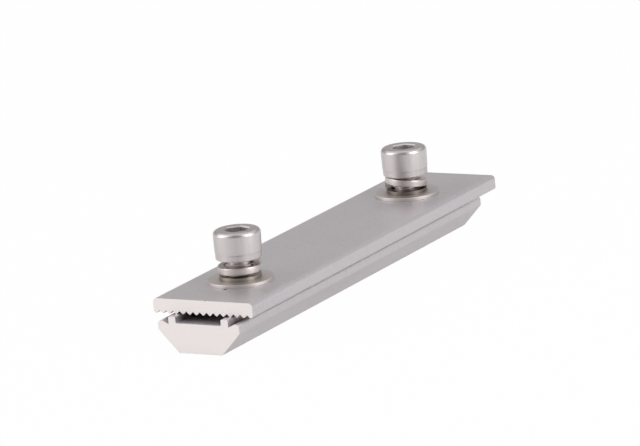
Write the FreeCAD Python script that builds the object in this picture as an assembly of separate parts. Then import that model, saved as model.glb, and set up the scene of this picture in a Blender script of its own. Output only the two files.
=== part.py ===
import FreeCAD, Part

import math
import os

from FreeCAD import Vector

# Splice for solar mounting rail: a grooved bar, a serrated clamp plate above it, and two M8 socket
# head cap screws with spring and flat washers. All sizes are in millimetres.
# X runs along the bar, Z is up, and the origin is the centre of the bar's bottom face.
# The front is the -X end.

# Bar, an extrusion with a tapered keel, two ribs and a hooked lip along each side
bar_length = 140.5
bar_bottom_width = 13.2
bar_width = 25.0
keel_height = 6.25
lip_height = 8.75
lip_land = 1.2
lip_corner_radius = 0.9
groove_height = 7.85
channel_floor_height = 8.2
channel_width = 14.0
rib_width = 2.2
rib_height = 9.9
rib_corner_radius = 0.25
bar_edge_radius = 0.35

# Clamp plate, an extrusion with V serrations along its underside
plate_length = 142.0
plate_width = 30.6
plate_thickness = 4.1
plate_top_radius = 1.1
plate_bottom_radius = 0.75
tooth_pitch = 2.08
tooth_depth = 0.8
tooth_tip_flat = 0.25
tooth_root_flat = 0.15

# Places of the screws, from the front end of the bar and of the plate
bar_front_margin = 24.2
plate_front_margin = 21.2
screw_spacing = 96.0

# M8 x 20 socket head cap screw
thread_diameter = 7.9
screw_length = 20.0
thread_end_chamfer = 0.7
underhead_chamfer = 0.2
head_diameter = 13.0
head_height = 7.85
head_edge_chamfer = 0.25
head_waist_diameter = 12.64
head_waist_height = 1.6
head_shoulder_diameter = 12.84
head_shoulder_height = 1.95
head_top_radius = 1.1
socket_across_flats = 6.0
socket_depth = 4.4
socket_point_depth = 0.7
socket_floor_ledge = 0.2
socket_mouth_chamfer = 0.3

# Washers
flat_washer_diameter = 18.2
flat_washer_thickness = 1.0
flat_washer_bore = 8.4
flat_washer_chamfer = 0.25
small_washer_diameter = 11.6
small_washer_thickness = 1.0
small_washer_chamfer = 0.15
spring_washer_diameter = 12.0
spring_washer_bore = 8.5
spring_washer_height = 2.0
spring_washer_split = 10.0

# Fits
thread_fit = 0.05
hole_countersink = 0.5
plate_hole_clearance = 0.55
head_gap = 0.1

# How each set stands, as left loose: the socket's turn, the spring washer's rise in one turn, the
# angle of its lower end, its tilt and the side that the tilt lifts, and the gap below it
front_socket_angle = 12.0
front_washer_rise = 1.8
front_washer_end = 268.0
front_washer_tilt = 4.5
front_washer_high_side = 265.0
front_washer_gap = 0.6
rear_socket_angle = 22.0
rear_washer_rise = 1.67
rear_washer_end = 114.0
rear_washer_tilt = 4.5
rear_washer_high_side = 150.0
rear_washer_gap = 0.05

# Worked out from the sizes above
bar_front_x = -bar_length / 2
front_screw_x = bar_front_x + bar_front_margin
rear_screw_x = front_screw_x + screw_spacing
plate_front_x = front_screw_x - plate_front_margin
plate_bottom_z = rib_height
plate_top_z = plate_bottom_z + plate_thickness
flat_washer_top_z = plate_top_z + flat_washer_thickness
small_washer_top_z = flat_washer_top_z + small_washer_thickness
cut_margin = 1.0


def rounded_wire(corners):
    """Closed wire through corners given as (point, radius); a radius of 0 keeps the corner sharp."""
    arcs = []
    for index, (corner, radius) in enumerate(corners):
        to_last = (corners[index - 1][0] - corner).normalize()
        to_next = (corners[(index + 1) % len(corners)][0] - corner).normalize()
        half_angle = to_last.getAngle(to_next) / 2
        reach = radius / math.tan(half_angle)
        middle = (to_last + to_next).normalize() * (radius / math.sin(half_angle) - radius)
        arcs.append((corner + to_last * reach, corner + middle, corner + to_next * reach, radius))
    edges = []
    for index, (start, middle, end, radius) in enumerate(arcs):
        if radius > 0:
            edges.append(Part.Arc(start, middle, end).toShape())
        edges.append(Part.LineSegment(end, arcs[(index + 1) % len(arcs)][0]).toShape())
    return Part.Wire(edges)


def extrusion(corners, start_x, length):
    """Solid along X whose section has its corners at (y, z, radius)."""
    section = rounded_wire([(Vector(start_x, y, z), radius) for y, z, radius in corners])
    return Part.Face(section).extrude(Vector(length, 0, 0))


def turned(corners):
    """Solid of revolution about Z whose half section has its corners at (radius from Z, z)."""
    points = [Vector(r, 0, z) for r, z in corners]
    section = Part.makePolygon(points + points[:1])
    return Part.Face(section).revolve(Vector(0, 0, 0), Vector(0, 0, 1), 360)


def splice_bar():
    """Lower bar: keel, lips and ribs in one extrusion, with two threaded holes."""
    half_width = bar_width / 2
    rib_inside = channel_width / 2
    rib_outside = rib_inside + rib_width
    one_side = [
        (bar_bottom_width / 2, 0, bar_edge_radius),
        (half_width, keel_height, bar_edge_radius),
        (half_width, lip_height, lip_corner_radius),
        (half_width - lip_corner_radius - lip_land / 2, lip_height, rib_corner_radius),
        (rib_outside, groove_height, 0),
        (rib_outside, rib_height, rib_corner_radius),
        (rib_inside, rib_height, rib_corner_radius),
        (rib_inside, channel_floor_height, rib_corner_radius),
    ]
    other_side = [(-y, z, radius) for y, z, radius in reversed(one_side)]
    bar = extrusion(one_side + other_side, bar_front_x, bar_length)
    for x in (front_screw_x, rear_screw_x):
        bar = bar.cut(threaded_hole(x))
    return bar


def threaded_hole(x):
    """Cutter for a hole at the thread's outer size, countersunk in the channel floor and below."""
    radius = thread_diameter / 2 + thread_fit
    wide = radius + hole_countersink
    hole = turned([
        (0, -cut_margin),
        (wide, -cut_margin),
        (wide, 0),
        (radius, hole_countersink),
        (radius, channel_floor_height - hole_countersink),
        (wide, channel_floor_height),
        (wide, channel_floor_height + cut_margin),
        (0, channel_floor_height + cut_margin),
    ])
    return hole.translated(Vector(x, 0, 0))


def clamp_plate():
    """Upper plate: flat above, V serrations along the whole underside, two clearance holes."""
    half_width = plate_width / 2
    flat_width = plate_width - 2 * plate_bottom_radius
    tooth_count = int((flat_width + tooth_tip_flat) / tooth_pitch)
    root_z = plate_bottom_z + tooth_depth
    mouth = (tooth_pitch - tooth_tip_flat) / 2
    root = tooth_root_flat / 2
    corners = [
        (-half_width, plate_bottom_z, plate_bottom_radius),
        (-half_width, plate_top_z, plate_top_radius),
        (half_width, plate_top_z, plate_top_radius),
        (half_width, plate_bottom_z, plate_bottom_radius),
    ]
    for index in range(tooth_count):
        y = ((tooth_count - 1) / 2 - index) * tooth_pitch
        corners.append((y + mouth, plate_bottom_z, 0))
        corners.append((y + root, root_z, 0))
        corners.append((y - root, root_z, 0))
        corners.append((y - mouth, plate_bottom_z, 0))
    plate = extrusion(corners, plate_front_x, plate_length)
    hole_radius = thread_diameter / 2 + plate_hole_clearance
    for x in (front_screw_x, rear_screw_x):
        start = Vector(x, 0, plate_bottom_z - cut_margin)
        plate = plate.cut(Part.makeCylinder(hole_radius, plate_thickness + 2 * cut_margin, start))
    return plate


def flat_washer(diameter, thickness, chamfer):
    """Punched washer, its underside at z = 0, chamfered round its upper rim."""
    outside = diameter / 2
    bore = flat_washer_bore / 2
    return turned([
        (bore, 0),
        (outside, 0),
        (outside, thickness - chamfer),
        (outside - chamfer, thickness),
        (bore, thickness),
    ])


def spring_washer(rise, lower_end, tilt, high_side):
    """One left-hand turn of rectangular wire, split at lower_end degrees, tilted to one side."""
    outside = spring_washer_diameter / 2
    bore = spring_washer_bore / 2
    turn_share = 1 - spring_washer_split / 360
    height = rise * turn_share
    path = Part.makeHelix(rise, height, (outside + bore) / 2, 0, True)
    section = Part.makePolygon([
        Vector(bore, 0, 0),
        Vector(outside, 0, 0),
        Vector(outside, 0, spring_washer_height),
        Vector(bore, 0, spring_washer_height),
        Vector(bore, 0, 0),
    ])
    washer = Part.Wire(path).makePipeShell([section], True, True)
    washer.rotate(Vector(0, 0, 0), Vector(0, 0, 1), lower_end)
    centre = Vector(0, 0, (height + spring_washer_height) / 2)
    side = math.radians(high_side)
    washer.rotate(centre, Vector(math.sin(side), -math.cos(side), 0), tilt)
    return washer


def cap_screw(socket_angle):
    """Socket head cap screw, the head's underside at z = 0: a waist, a shoulder, then a slight flare."""
    thread = thread_diameter / 2
    waist = head_waist_diameter / 2
    head = head_diameter / 2
    chord_inset = head_top_radius * (1 - math.sqrt(0.5))
    body = turned([
        (0, -screw_length),
        (thread - thread_end_chamfer, -screw_length),
        (thread, thread_end_chamfer - screw_length),
        (thread, -underhead_chamfer),
        (thread + underhead_chamfer, 0),
        (waist - head_edge_chamfer, 0),
        (waist, head_edge_chamfer),
        (waist, head_waist_height),
        (head_shoulder_diameter / 2, head_shoulder_height),
        (head, head_height - head_top_radius),
        (head - chord_inset, head_height - chord_inset),
        (head - head_top_radius, head_height),
        (0, head_height),
    ])
    return body.cut(hex_socket(socket_angle))


def hexagon(half_width, turn, z):
    """Corners of a level hexagon, half_width from its centre to a side, the first one twice."""
    corner_radius = half_width / math.cos(math.pi / 6)
    corners = []
    for step in range(7):
        angle = math.radians(turn + 60 * step)
        corners.append(Vector(corner_radius * math.cos(angle), corner_radius * math.sin(angle), z))
    return corners


def hex_block(lower, upper):
    """Solid with flat sides between two hexagons."""
    faces = [Part.Face(Part.makePolygon(lower)), Part.Face(Part.makePolygon(upper))]
    for step in range(6):
        side = [lower[step], lower[step + 1], upper[step + 1], upper[step], lower[step]]
        faces.append(Part.Face(Part.makePolygon(side)))
    return Part.Solid(Part.Shell(faces))


def hex_socket(socket_angle):
    """Cutter for the hex socket: a hexagon, its bevelled mouth and the point below its floor."""
    half_width = socket_across_flats / 2
    floor_z = head_height - socket_depth
    bevel_z = head_height - socket_mouth_chamfer
    open_width = half_width + socket_mouth_chamfer + cut_margin
    walls = hex_block(
        hexagon(half_width, socket_angle, floor_z),
        hexagon(half_width, socket_angle, head_height),
    )
    mouth = hex_block(
        hexagon(half_width, socket_angle, bevel_z),
        hexagon(open_width, socket_angle, head_height + cut_margin),
    )
    point_radius = half_width - socket_floor_ledge
    point = turned([
        (0, floor_z - socket_point_depth),
        (point_radius, floor_z),
        (point_radius, floor_z + cut_margin / 2),
        (0, floor_z + cut_margin / 2),
    ])
    return walls.fuse([mouth, point])


def screw_set(name, x, socket_angle, rise, lower_end, tilt, high_side, gap):
    """One screw with its washers; the spring washer stands between the small washer and the head."""
    wide = flat_washer(flat_washer_diameter, flat_washer_thickness, flat_washer_chamfer)
    small = flat_washer(small_washer_diameter, small_washer_thickness, small_washer_chamfer)
    washer = spring_washer(rise, lower_end, tilt, high_side)
    washer_box = washer.optimalBoundingBox()
    washer_z = small_washer_top_z + gap
    underside_z = washer_z + washer_box.ZLength + head_gap
    washer.translate(Vector(x, 0, washer_z - washer_box.ZMin))
    screw = cap_screw(socket_angle)
    screw.translate(Vector(x, 0, underside_z))
    return {
        name + "_screw": screw,
        name + "_spring_washer": washer,
        name + "_small_washer": small.translated(Vector(x, 0, flat_washer_top_z)),
        name + "_flat_washer": wide.translated(Vector(x, 0, plate_top_z)),
    }


def check_and_write(nodes):
    """One STEP file for each piece, after a look at its volume and its lowest and highest point."""
    os.makedirs("parts", exist_ok=True)
    for name, shape in nodes.items():
        if not shape.isValid() or len(shape.Solids) != 1:
            raise ValueError(name + " is not one valid solid")
        box = shape.BoundBox
        print(name, "volume", round(shape.Volume, 1), "z", round(box.ZMin, 3), round(box.ZMax, 3))
        shape.exportStep("parts/" + name + ".step")


nodes = {"splice_bar": splice_bar(), "clamp_plate": clamp_plate()}
nodes.update(screw_set(
    "front", front_screw_x, front_socket_angle, front_washer_rise, front_washer_end,
    front_washer_tilt, front_washer_high_side, front_washer_gap,
))
nodes.update(screw_set(
    "rear", rear_screw_x, rear_socket_angle, rear_washer_rise, rear_washer_end,
    rear_washer_tilt, rear_washer_high_side, rear_washer_gap,
))
check_and_write(nodes)
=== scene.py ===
import math

import bmesh
import bpy
from mathutils import Matrix, Vector


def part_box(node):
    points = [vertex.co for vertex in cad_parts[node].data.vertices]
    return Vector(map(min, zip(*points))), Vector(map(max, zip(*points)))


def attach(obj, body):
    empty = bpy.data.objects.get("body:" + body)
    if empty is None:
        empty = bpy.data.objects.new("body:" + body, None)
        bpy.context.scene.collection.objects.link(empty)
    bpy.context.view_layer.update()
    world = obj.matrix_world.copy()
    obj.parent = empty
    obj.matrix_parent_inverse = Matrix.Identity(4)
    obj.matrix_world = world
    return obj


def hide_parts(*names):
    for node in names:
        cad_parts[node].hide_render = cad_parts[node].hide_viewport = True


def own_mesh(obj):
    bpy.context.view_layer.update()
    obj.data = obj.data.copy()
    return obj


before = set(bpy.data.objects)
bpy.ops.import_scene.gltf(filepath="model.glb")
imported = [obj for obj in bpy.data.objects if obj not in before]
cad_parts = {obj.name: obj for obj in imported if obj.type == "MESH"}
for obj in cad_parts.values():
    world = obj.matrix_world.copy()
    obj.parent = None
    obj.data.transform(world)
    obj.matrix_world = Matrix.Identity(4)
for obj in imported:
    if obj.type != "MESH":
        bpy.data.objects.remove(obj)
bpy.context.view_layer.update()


# Splice bar
# The grooved lower bar is one aluminium extrusion, etched and clear anodised, then sawn to length.
# Its sides keep faint lines from the die and its two ends keep the saw's finer arcs.

bar_colour = (0.692, 0.654, 0.667, 1)
sawn_colour = (1, 0.939, 0.919, 1)
mark_colour = (0.08, 0.07, 0.06, 1)
saw_arc_centre = (0, -0.11, -0.05)
# Where the bar's lip edge beside the plate's gap is painted bright over the gap's shade
lip_edge_reach = 0.0120
lip_edge_height = 0.0087


class Socket:
    """One output of a shader node. Arithmetic on it adds Math nodes; add() adds any other node."""

    def __init__(self, tree, output=None):
        self.tree = tree
        self.output = output

    def add(self, kind, settings=None, inputs=None, output=0):
        node = self.tree.nodes.new(kind)
        for name, value in (settings or {}).items():
            setattr(node, name, value)
        for name, value in (inputs or {}).items():
            if isinstance(value, Socket):
                self.tree.links.new(value.output, node.inputs[name])
            else:
                node.inputs[name].default_value = value
        return Socket(self.tree, node.outputs[output])

    def end(self, kind):
        """Closes a tree with this surface on its output node."""
        node = self.tree.nodes.new(kind)
        self.tree.links.new(self.output, node.inputs["Surface"])

    def math(self, operation, *values):
        return self.add("ShaderNodeMath", {"operation": operation}, dict(enumerate(values)))

    def __add__(self, other):
        return self.math("ADD", self, other)

    def __radd__(self, other):
        return self.math("ADD", other, self)

    def __sub__(self, other):
        return self.math("SUBTRACT", self, other)

    def __rsub__(self, other):
        return self.math("SUBTRACT", other, self)

    def __mul__(self, other):
        return self.math("MULTIPLY", self, other)

    def __rmul__(self, other):
        return self.math("MULTIPLY", other, self)

    def __abs__(self):
        return self.math("ABSOLUTE", self)

    def part(self, axis):
        """One of the three numbers of a vector."""
        return self.add("ShaderNodeSeparateXYZ", inputs={0: self}, output=axis)

    def step(self, low, high):
        """0 below low, 1 above high and smooth between them."""
        settings = {"interpolation_type": "SMOOTHSTEP"}
        return self.add("ShaderNodeMapRange", settings, {0: self, 1: low, 2: high})

    def distance(self, point):
        """How far a position is from a point."""
        settings = {"operation": "DISTANCE"}
        return self.add("ShaderNodeVectorMath", settings, {0: self, 1: point}, output=1)

    def scaled(self, x, y, z):
        """A position as a count of grains along each axis."""
        return self.add("ShaderNodeMapping", inputs={"Vector": self, "Scale": (x, y, z)})

    def noise(self, detail=2.0):
        """Noise from 0 to 1 at a position."""
        return self.add("ShaderNodeTexNoise", inputs={"Vector": self, "Scale": 1.0, "Detail": detail})

    def mix(self, one, other):
        """Colour between one and other, by this share."""
        settings = {"data_type": "RGBA"}
        return self.add("ShaderNodeMix", settings, {0: self, 6: one, 7: other}, output=2)


def new_material(name):
    """A material with an empty tree, and the position on the piece in metres."""
    material = bpy.data.materials.new(name)
    material.use_nodes = True
    material.node_tree.nodes.clear()
    tree = Socket(material.node_tree)
    return material, tree, tree.add("ShaderNodeTexCoord", output=3)


def centred_on(tree, place, axis_x):
    """A position measured from the upright axis over axis_x, given in millimetres."""
    settings = {"operation": "SUBTRACT"}
    return tree.add("ShaderNodeVectorMath", settings, {0: place, 1: (axis_x / 1000, 0, 0)})


def finish_metal(tree, colour, roughness, height, depth):
    """Ends a material in one bare metal surface, its relief as deep as depth in metres."""
    normal = tree.add("ShaderNodeBump", inputs={"Height": height, "Distance": depth, "Strength": 1.0})
    surface = tree.add("ShaderNodeBsdfPrincipled", inputs={
        "Base Color": colour,
        "Roughness": roughness,
        "Metallic": 1.0,
        "Normal": normal,
    })
    surface.end("ShaderNodeOutputMaterial")


def extruded_aluminium(name, colour, lines_per_mm, painted_lit_edge=None, marks=()):
    """Etched and anodised aluminium, bare on its sawn ends.

    It is also painted bare-bright along an edge at (reach, height), a painted highlight that
    lightens the shade in the gap beside it, and has dark marks at (place, radius).
    """
    material, tree, place = new_material(name)
    facing = tree.add("ShaderNodeTexCoord", output=1)
    sawn = abs(facing.part(0)).step(0.85, 0.95)
    die_lines = place.scaled(12, 1000 * lines_per_mm, 1000 * lines_per_mm).noise(3)
    etched = place.scaled(5200, 5200, 5200).noise(2)
    cloud = place.scaled(55, 90, 90).noise(2)
    speckle = place.scaled(1400, 1400, 1400).noise(3)
    from_saw = place.distance(saw_arc_centre)
    saw_lines = tree.add("ShaderNodeTexNoise", {"noise_dimensions": "1D"}, {
        "W": from_saw * 5200,
        "Scale": 1.0,
        "Detail": 3.0,
    })
    shade = 0.76 + 0.08 * cloud + 0.04 * die_lines + 0.36 * speckle
    plain = shade.mix((0, 0, 0, 1), colour)
    # Painted highlight: a band along the edge takes the bare sawn colour, lightening the shade in the gap
    # beside it.
    if painted_lit_edge:
        reach, level = painted_lit_edge
        along_side = abs(place.part(1)).step(reach - 0.0003, reach)
        at_level = 1 - abs(place.part(2) - level).step(0.0002, 0.0007)
        plain = (along_side * at_level).mix(plain, sawn_colour)
    coloured = sawn.mix(plain, (0.93 + 0.10 * saw_lines).mix((0, 0, 0, 1), sawn_colour))
    for centre, radius in marks:
        away = place.distance(centre)
        coloured = away.step(0.4 * radius, radius).mix(mark_colour, coloured)
    roughness = 0.46 + 0.10 * etched - 0.06 * sawn
    relief = (1 - sawn) * (0.5 * die_lines + 0.5 * etched) + sawn * saw_lines
    finish_metal(tree, coloured, roughness, relief, 0.000004)
    return material


def dress(node, material):
    """Gives a CAD node one material."""
    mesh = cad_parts[node].data
    mesh.materials.clear()
    mesh.materials.append(material)


# The lip's edge along the gap under the plate is painted bright, a painted highlight over its shade.
dress("splice_bar", extruded_aluminium(
    "bar_anodised", bar_colour, 5, painted_lit_edge=(lip_edge_reach, lip_edge_height),
))


# Threads of the bar's two holes
# The holes are tapped M8 x 1.25, right-hand, through the full depth of the bar below its channel.
# The cut thread is bright bare aluminium and ends in a countersink at each face.

front_screw_x = -46.05
rear_screw_x = 49.95
thread_pitch = 1.25
thread_crest = 3.95
thread_root = 3.2
thread_columns = 72
hole_clearance = 0.05
hole_crest = 3.4
hole_wall = 3.99
hole_mouth = 4.5
channel_floor = 8.2
tapped_colour = (0.74, 0.73, 0.72, 1)
# Height in share of one pitch, and depth in share of the thread's depth
thread_shape = [
    (0.0, 0.0), (0.05, 0.02), (0.085, 0.09), (0.22, 0.52), (0.345, 0.92),
    (0.4, 0.99), (0.5, 1.0), (0.6, 0.99), (0.655, 0.92), (0.78, 0.52), (0.915, 0.09), (0.95, 0.02),
]


def helical_thread(low, high, radius_at):
    """Vertices and faces of a right-hand helicoid from low to high; radius_at(depth share, height)."""
    rows_per_turn = len(thread_shape)
    first_turn = math.floor(low / thread_pitch) - 2
    turns = math.ceil((high - low) / thread_pitch) + 4
    rows = turns * rows_per_turn
    points = []
    for row in range(rows + rows_per_turn):
        share, depth = thread_shape[row % rows_per_turn]
        for column in range(thread_columns):
            turned = column / thread_columns
            z = (first_turn + row // rows_per_turn + share + turned) * thread_pitch
            radius = radius_at(depth, z)
            angle = 2 * math.pi * turned
            points.append((radius * math.cos(angle), radius * math.sin(angle), z))
    faces = []
    for row in range(rows - 1):
        for column in range(thread_columns):
            here = row * thread_columns + column
            if column + 1 < thread_columns:
                beside = here + 1
            else:
                beside = (row + rows_per_turn) * thread_columns
            faces.append((here, beside, beside + thread_columns, here + thread_columns))
    return points, faces


def trimmed(shape, height, keep_above):
    """Cuts a bmesh off level at a height in millimetres."""
    side = Vector((0, 0, 1 if keep_above else -1))
    geometry = shape.verts[:] + shape.edges[:] + shape.faces[:]
    bmesh.ops.bisect_plane(
        shape, geom=geometry, dist=1e-6, plane_co=(0, 0, height), plane_no=side, clear_inner=True,
    )


def new_piece(name, shape, x, material, body):
    """Turns a bmesh in millimetres into a piece in metres, standing over x on the bar's centre line."""
    shape.transform(Matrix.Translation((x / 1000, 0, 0)) @ Matrix.Scale(0.001, 4))
    mesh = bpy.data.meshes.new(name)
    shape.to_mesh(mesh)
    shape.free()
    mesh.materials.append(material)
    piece = bpy.data.objects.new(name, mesh)
    bpy.context.scene.collection.objects.link(piece)
    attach(piece, body)
    return piece


def soften(shape, sharp_degrees):
    """Smooth shading with edges sharper than an angle kept crisp."""
    bmesh.ops.recalc_face_normals(shape, faces=shape.faces)
    for face in shape.faces:
        face.smooth = True
    for edge in shape.edges:
        edge.smooth = edge.calc_face_angle(0) < math.radians(sharp_degrees)


def from_grid(points, faces):
    """A bmesh from points and from faces given as indices of points."""
    shape = bmesh.new()
    corners = [shape.verts.new(point) for point in points]
    for face in faces:
        shape.faces.new([corners[index] for index in face])
    return shape


def hole_radius(depth, z):
    """Radius of a tapped hole, widened by the countersinks at both of its ends."""
    thread = thread_crest - depth * (thread_crest - thread_root) + hole_clearance
    countersink = max(hole_mouth - z, hole_mouth - (channel_floor - z))
    return min(max(thread, hole_crest, countersink), hole_wall)


def cut_aluminium():
    """Bright bare aluminium with faint chatter marks round each thread."""
    material, tree, place = new_material("bar_tapped")
    chatter = place.scaled(900, 900, 5200).noise(2)
    colour = (0.9 + 0.15 * chatter).mix((0, 0, 0, 1), tapped_colour)
    finish_metal(tree, colour, 0.28 + 0.12 * chatter, chatter, 0.000008)
    return material


tapped = cut_aluminium()
for place_name, hole_x in (("front", front_screw_x), ("rear", rear_screw_x)):
    lining = from_grid(*helical_thread(0, channel_floor, hole_radius))
    trimmed(lining, hole_mouth - hole_wall, keep_above=True)
    trimmed(lining, channel_floor - hole_mouth + hole_wall, keep_above=False)
    soften(lining, 50)
    new_piece(place_name + "_hole_thread", lining, hole_x, tapped, "bar")


# Clamp plate
# The serrated upper plate is a second aluminium extrusion, etched a little greyer than the bar.
# It lies on the bar's two ribs and its teeth point down at the rail's lips.

plate_colour = (0.69, 0.657, 0.676, 1)

speck_by_washer = ((-0.0555, -0.0004, 0.014), 0.0006)
nick_in_front_edge = ((-0.06725, -0.0009, 0.0141), 0.0003)

dress("clamp_plate", extruded_aluminium(
    "plate_anodised", plate_colour, 4, marks=[speck_by_washer, nick_in_front_edge],
))


# Flat washers
# Stainless washers, punched from bright sheet and tumbled: polished faces, a rim rolled over above
# and a torn, nearly sharp rim below. A wide one lies loose on the plate round each screw, with a small one
# on it.

wide_washer_radius = 9.1
small_washer_radius = 5.8
washer_bore = 4.2
washer_thickness = 1.0
plate_top = 14.0
wide_washer_colour = (0.64, 0.594, 0.572, 1)
ring_columns = 144


def turned_shape(profile, columns):
    """A ring-shaped bmesh about Z from (radius, z) points; a closed profile makes a washer."""
    points = []
    for radius, z in profile:
        for column in range(columns):
            angle = 2 * math.pi * column / columns
            points.append((radius * math.cos(angle), radius * math.sin(angle), z))
    faces = []
    for row in range(len(profile)):
        above = (row + 1) % len(profile)
        for column in range(columns):
            beside = (column + 1) % columns
            faces.append((
                row * columns + column, row * columns + beside,
                above * columns + beside, above * columns + column,
            ))
    return from_grid(points, faces)


def arc(centre, radius, start, end, steps):
    """Points of an arc in a half section, angles in degrees."""
    points = []
    for step in range(steps + 1):
        angle = math.radians(start + (end - start) * step / steps)
        points.append((centre[0] + radius * math.cos(angle), centre[1] + radius * math.sin(angle)))
    return points


def polished_steel(name, colour, axis_x, roughness, relief_depth):
    """Bright tumbled stainless steel with faint rings about an axis over x and small dents."""
    material, tree, place = new_material(name)
    centred = centred_on(tree, place, axis_x)
    flat = centred.scaled(1, 1, 0)
    radius = tree.add("ShaderNodeVectorMath", {"operation": "LENGTH"}, {0: flat}, output=1)
    rings = tree.add("ShaderNodeTexNoise", {"noise_dimensions": "1D"}, {
        "W": (radius + centred.part(2)) * 6200,
        "Scale": 1.0,
        "Detail": 3.0,
    })
    dents = place.scaled(1500, 1500, 1500).noise(3)
    cloud = place.scaled(260, 260, 260).noise(2)
    shade = 0.95 + 0.06 * cloud + 0.03 * rings
    coloured = shade.mix((0, 0, 0, 1), colour)
    relief = 0.35 * rings + 0.65 * dents
    finish_metal(tree, coloured, roughness + 0.10 * dents + 0.05 * rings, relief, relief_depth)
    return material


def punched_washer(place_name, x, outside, rim_radius, bottom, steel, piece_name, node):
    """A washer whose upper rim is rolled over and whose lower rim is nearly sharp."""
    top = bottom + washer_thickness
    rim = arc((outside - rim_radius, top - rim_radius), rim_radius, 0, 90, 6)
    bore_edge = arc((washer_bore + 0.15, top - 0.15), 0.15, 90, 180, 4)
    underside = [(washer_bore, bottom), (outside - 0.06, bottom), (outside, bottom + 0.06)]
    washer = turned_shape(underside + rim + bore_edge, ring_columns)
    soften(washer, 40)
    piece = new_piece(place_name + piece_name, washer, x, steel, "plate")
    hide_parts(place_name + node)


# The small washers' colours are a yellowish steel tint darkened with painted shade, the shade under the
# spring washers above them; the rear one carries more painted shade than the front one.
washer_places = (
    ("front", front_screw_x, (0.35, 0.32, 0.275, 1)),
    ("rear", rear_screw_x, (0.24, 0.215, 0.18, 1)),
)
for place_name, washer_x, tint_and_painted_shade in washer_places:
    bright = polished_steel(place_name + "_washer_steel", wide_washer_colour, washer_x, 0.43, 0.0000005)
    tinted_and_shaded = polished_steel(place_name + "_small_washer_steel", tint_and_painted_shade, washer_x, 0.22, 0.0000005)
    punched_washer(
        place_name, washer_x, wide_washer_radius, 0.25, plate_top, bright, "_wide_washer", "_flat_washer",
    )
    punched_washer(
        place_name, washer_x, small_washer_radius, 0.1, plate_top + washer_thickness, tinted_and_shaded,
        "_inner_washer", "_small_washer",
    )


# Spring washers
# Split lock washers coiled left-hand from square stainless wire whose corners are rolled round.
# Each stands between the small washer and the head, opened and tilted as the screw was left loose.

wire_inside = 4.25
wire_outside = 6.0
wire_height = 2.0
wire_corner = 0.32
split_degrees = 10
coil_stations = 120
spring_colour = (0.66, 0.60, 0.575, 1)


def wire_section():
    """Corners of the wire, rounded, counter-clockwise in (radius, z)."""
    low = wire_corner
    inner = wire_inside + wire_corner
    outer = wire_outside - wire_corner
    top = wire_height - wire_corner
    return (
        arc((inner, low), wire_corner, 180, 270, 5) + arc((outer, low), wire_corner, 270, 360, 5)
        + arc((outer, top), wire_corner, 0, 90, 5) + arc((inner, top), wire_corner, 90, 180, 5)
    )


def coiled_washer(rise, lower_end, tilt, high_side, lowest):
    """One left-hand turn, tilted towards a side, with its lowest sharp corner at a height."""
    turn_share = 1 - split_degrees / 360
    height = rise * turn_share
    centre = Vector((0, 0, (height + wire_height) / 2))
    side = math.radians(high_side)
    lean = Matrix.Rotation(math.radians(tilt), 4, Vector((math.sin(side), -math.cos(side), 0)))

    def stand(radius, z, station):
        """Where a point of the wire's section stands at a station along the coil."""
        share = station / coil_stations
        angle = math.radians(lower_end - 360 * turn_share * share)
        point = Vector((radius * math.cos(angle), radius * math.sin(angle), z + height * share))
        return lean @ (point - centre) + centre

    stations = range(coil_stations + 1)
    square = [(wire_inside, 0), (wire_outside, 0)]
    lift = lowest - min(stand(radius, z, station).z for radius, z in square for station in stations)
    section = wire_section()
    count = len(section)
    points = []
    for station in stations:
        for radius, z in section:
            points.append(stand(radius, z, station) + Vector((0, 0, lift)))
    faces = [tuple(range(count)), tuple(reversed(range(len(points) - count, len(points))))]
    for station in range(coil_stations):
        for corner in range(count):
            beside = (corner + 1) % count
            here = station * count
            faces.append((here + corner, here + beside, here + count + beside, here + count + corner))
    return from_grid(points, faces)


def dressed_spring(place_name, x, rise, lower_end, tilt, high_side):
    """One spring washer, standing with its lowest corner as low as the model's spring washer."""
    node = place_name + "_spring_washer"
    low_corner, high_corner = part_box(node)
    coil = coiled_washer(rise, lower_end, tilt, high_side, low_corner.z * 1000)
    soften(coil, 40)
    steel = polished_steel(place_name + "_spring_steel", spring_colour, x, 0.3, 0.0000002)
    piece = new_piece(place_name + "_lock_washer", coil, x, steel, node)
    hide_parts(node)
    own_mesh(piece)


dressed_spring("front", front_screw_x, rise=1.8, lower_end=268, tilt=4.5, high_side=265)
dressed_spring("rear", rear_screw_x, rise=1.67, lower_end=114, tilt=4.5, high_side=150)


# Socket head cap screws
# M8 x 20 stainless screws, cold headed and thread rolled, then tumbled to a soft shine.
# The heads taper in towards the bearing face, and the hex sockets have a bevelled mouth.

screw_length = 20.0
head_height = 7.85
head_radius = 6.5
head_edge_radius = 1.1
bearing_face_radius = 3.4
bearing_edge_radius = 0.25
waist_radius = 6.32
# Radius and height of the step where the straight side of the head meets its narrower foot
foot_step = [(6.32, 1.45), (6.33, 1.57), (6.36, 1.68), (6.40, 1.83), (6.42, 1.95), (6.425, 2.15)]
mouth_radius = 4.4
socket_half_flats = 3.0
socket_depth = 4.4
socket_bevel = 0.3
socket_fillet = 0.12
drill_point_radius = 2.7
drill_point_depth = 0.7
drill_tip_radius = 0.02
neck_radius = 3.6
runout_start = -1.3
runout_length = 0.6
end_radius = 3.25
shank_top = 0.5
head_columns = 96
screw_colour = (0.696, 0.644, 0.644, 1)


def shank_radius(depth, z):
    """Radius of the shank, z from the head's underside: a short plain neck, thread and pointed end."""
    thread = thread_crest - depth * (thread_crest - thread_root)
    runout = min(max((z - runout_start) / runout_length, 0), 1)
    thread += (neck_radius - thread) * runout
    return min(thread, end_radius + z + screw_length)


def hex_reach(angle):
    """Distance from the screw's axis to a wall of the hexagon, its corners at 0, 60, 120 degrees."""
    from_flat = angle % (math.pi / 3) - math.pi / 6
    return socket_half_flats / math.cos(from_flat)


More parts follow.
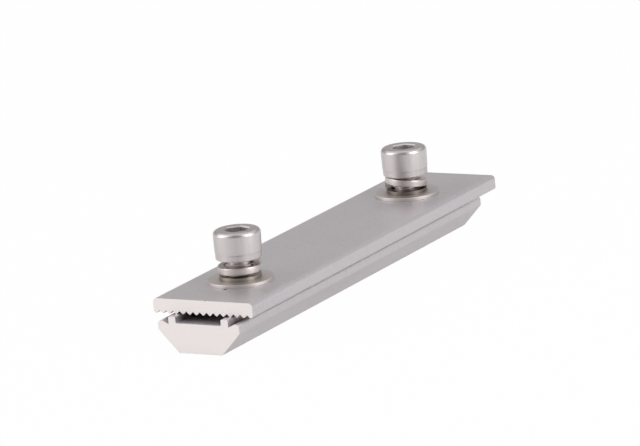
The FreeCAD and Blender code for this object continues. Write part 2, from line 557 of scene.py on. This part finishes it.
def head_rings():
    """Rings of the head from its underside, over the top and down into the socket."""
    foot_centre = (waist_radius - bearing_edge_radius, bearing_edge_radius)
    edge_centre = (head_radius - head_edge_radius, head_height - head_edge_radius)
    outside = [(bearing_face_radius, 0.0)] + arc(foot_centre, bearing_edge_radius, -90, 0, 5)
    outside += foot_step + arc(edge_centre, head_edge_radius, 0, 90, 12)
    return outside + [(mouth_radius, head_height)]


def socket_head(turn):
    """Bmesh of the head and its socket, z from the underside."""
    points = []
    floor = head_height - socket_depth
    for column in range(head_columns):
        angle = 2 * math.pi * column / head_columns
        wall = hex_reach(angle)
        column_points = head_rings()
        widened = wall * (1 + socket_bevel / socket_half_flats)
        column_points += [(widened, head_height), (wall, head_height - socket_bevel)]
        column_points += [(wall, floor + socket_fillet), (wall - socket_fillet, floor)]
        column_points += [(drill_point_radius, floor), (drill_tip_radius, floor - drill_point_depth)]
        place = angle + math.radians(turn)
        for radius, z in column_points:
            points.append((radius * math.cos(place), radius * math.sin(place), z))
    rows = len(points) // head_columns
    faces = []
    for column in range(head_columns):
        beside = (column + 1) % head_columns
        for row in range(rows - 1):
            here = column * rows + row
            there = beside * rows + row
            faces.append((here, there, there + 1, here + 1))
    return from_grid(points, faces)


def forged_steel(name, axis_x):
    """Tumbled stainless head: soft shine, faint upright draw lines and small dents."""
    material, tree, place = new_material(name)
    centred = centred_on(tree, place, axis_x)
    draw_lines = centred.scaled(2800, 2800, 60).noise(3)
    dents = place.scaled(1100, 1100, 1100).noise(3)
    cloud = place.scaled(230, 230, 230).noise(2)
    bands = centred.scaled(420, 420, 25).noise(1)
    shade = 0.68 + 0.08 * cloud + 0.16 * draw_lines + 0.40 * bands
    coloured = shade.mix((0, 0, 0, 1), screw_colour)
    relief = 0.4 * draw_lines + 0.6 * dents
    finish_metal(tree, coloured, 0.30 + 0.08 * dents + 0.06 * draw_lines, relief, 0.000002)
    return material


def dressed_screw(place_name, x, socket_turn):
    """One screw, its threaded shank and its head joined in a single piece."""
    node = place_name + "_screw"
    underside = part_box(node)[1].z * 1000 - head_height
    screw = from_grid(*helical_thread(-screw_length, shank_top + 0.1, shank_radius))
    trimmed(screw, -screw_length, keep_above=True)
    trimmed(screw, shank_top, keep_above=False)
    ends = [edge for edge in screw.edges if edge.is_boundary]
    bmesh.ops.holes_fill(screw, edges=ends, sides=0)
    bmesh.ops.translate(screw, verts=screw.verts, vec=(0, 0, underside))
    head = socket_head(socket_turn)
    bmesh.ops.translate(head, verts=head.verts, vec=(0, 0, underside))
    joined = bpy.data.meshes.new("head")
    head.to_mesh(joined)
    head.free()
    screw.from_mesh(joined)
    bpy.data.meshes.remove(joined)
    soften(screw, 32)
    steel = forged_steel(place_name + "_screw_steel", x)
    piece = new_piece(place_name + "_cap_screw", screw, x, steel, node)
    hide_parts(node)


dressed_screw("front", front_screw_x, socket_turn=12)
dressed_screw("rear", rear_screw_x, socket_turn=22)


# Floor
# A plain white sheet, level under the bar and far wider than the view.
# Mirrored in metal it is painted greyer, more so close beside the bar, and in front it carries
# the painted shadow of a camera stand that is not in the scene.

floor_half_size = 3.0
floor_drop = 0.0002
painted_stand_shadow_centre = (-0.15, -0.055, 0)

floor_shape = bmesh.new()
bmesh.ops.create_grid(floor_shape, x_segments=2, y_segments=2, size=floor_half_size)
bmesh.ops.translate(floor_shape, verts=floor_shape.verts, vec=(0, 0, -floor_drop))
floor_mesh = bpy.data.meshes.new("floor")
floor_shape.to_mesh(floor_mesh)
floor_shape.free()
floor = bpy.data.objects.new("floor", floor_mesh)
bpy.context.scene.collection.objects.link(floor)

floor_material, floor_tree, floor_place = new_material("white_sheet")
paper = floor_tree.add("ShaderNodeBsdfDiffuse", inputs={"Color": (0.86, 0.86, 0.86, 1)})
seen = floor_tree.add("ShaderNodeLightPath", output=0)
mirrored = floor_tree.add("ShaderNodeLightPath", output=3) + floor_tree.add("ShaderNodeLightPath", output=6)
glow = floor_tree.add("ShaderNodeEmission", inputs={"Color": 1 - 0.18 * mirrored, "Strength": 1.0})
beside = abs(floor_place.part(1)).step(0.012, 0.030)
beyond = abs(floor_place.part(0)).step(0.070, 0.080)
clear = floor_tree.math("MAXIMUM", beside, beyond)
from_painted_stand_shadow = floor_place.distance(painted_stand_shadow_centre)
# Painted shade in reflections: less glow beside the bar and in the painted stand shadow.
bright = 0.42 + 0.20 * clear + 0.16 * beyond - 0.24 * (1 - from_painted_stand_shadow.step(0.02, 0.07))
sheet = floor_tree.add("ShaderNodeMixShader", inputs={0: 0.98 * seen + bright * mirrored, 1: paper, 2: glow})
sheet.end("ShaderNodeOutputMaterial")
floor_mesh.materials.append(floor_material)


# Light
# Two tall soft boxes stand left and right of the camera. The room is white low down, dark grey above
# that and pale overhead. It is dark on the camera's side at every height, so rounded steel shows a
# dark band between two bright ones.

towards_camera = (-0.906, -0.423, 0)

world = bpy.data.worlds.new("pale_room")
bpy.context.scene.world = world
world.use_nodes = True
world.node_tree.nodes.clear()
room = Socket(world.node_tree)
direction = room.add("ShaderNodeTexCoord", output=0)
height = direction.part(2)
level = room.add("ShaderNodeVectorMath", {"operation": "NORMALIZE"}, {0: direction.scaled(1, 1, 0)})
facing = room.add("ShaderNodeVectorMath", {"operation": "DOT_PRODUCT"}, {
    0: level,
    1: towards_camera,
}, output=1)
camera_side = facing.step(0.74, 0.91)
walls = 1.0 - 0.73 * height.step(0.08, 0.20) + 0.53 * height.step(0.45, 0.60)
around = (1 - camera_side) * walls + 0.25 * camera_side
seen_directly = room.add("ShaderNodeLightPath", output=0)
strength = seen_directly + (1 - seen_directly) * around
background = room.add("ShaderNodeBackground", inputs={"Color": (1, 1, 1, 1), "Strength": strength})
background.end("ShaderNodeOutputWorld")


def soft_box(name, place, width, tall, power):
    """A tall lamp that faces the middle of the splice."""
    data = bpy.data.lights.new(name, "AREA")
    data.shape = "RECTANGLE"
    data.size = width
    data.size_y = tall
    data.energy = power
    lamp = bpy.data.objects.new(name, data)
    lamp.location = place
    lamp.rotation_euler = (Vector(place) - Vector((0, 0, 0.01))).to_track_quat("Z", "Y").to_euler()
    bpy.context.scene.collection.objects.link(lamp)


soft_box("left_box", (-0.440, 0.552, 0.376), width=0.54, tall=0.70, power=2.1)
soft_box("right_box", (-0.025, -0.706, 0.376), width=0.40, tall=0.70, power=2.95)


# Camera
# A long lens looks along the bar from its near end, a little above it and slightly rolled.

camera_data = bpy.data.cameras.new("camera")
camera_data.sensor_width = 36
camera_data.lens = 320.93
camera = bpy.data.objects.new("camera", camera_data)
camera.location = (-1.328228, -0.765432, 0.391657)
camera.rotation_euler = Matrix((
    (0.480097, 0.247115, -0.841690),
    (-0.873241, 0.043398, -0.485352),
    (-0.083410, 0.968014, 0.236626),
)).to_euler()
bpy.context.scene.collection.objects.link(camera)
bpy.context.scene.camera = camera

bpy.context.scene.view_settings.view_transform = "Standard"
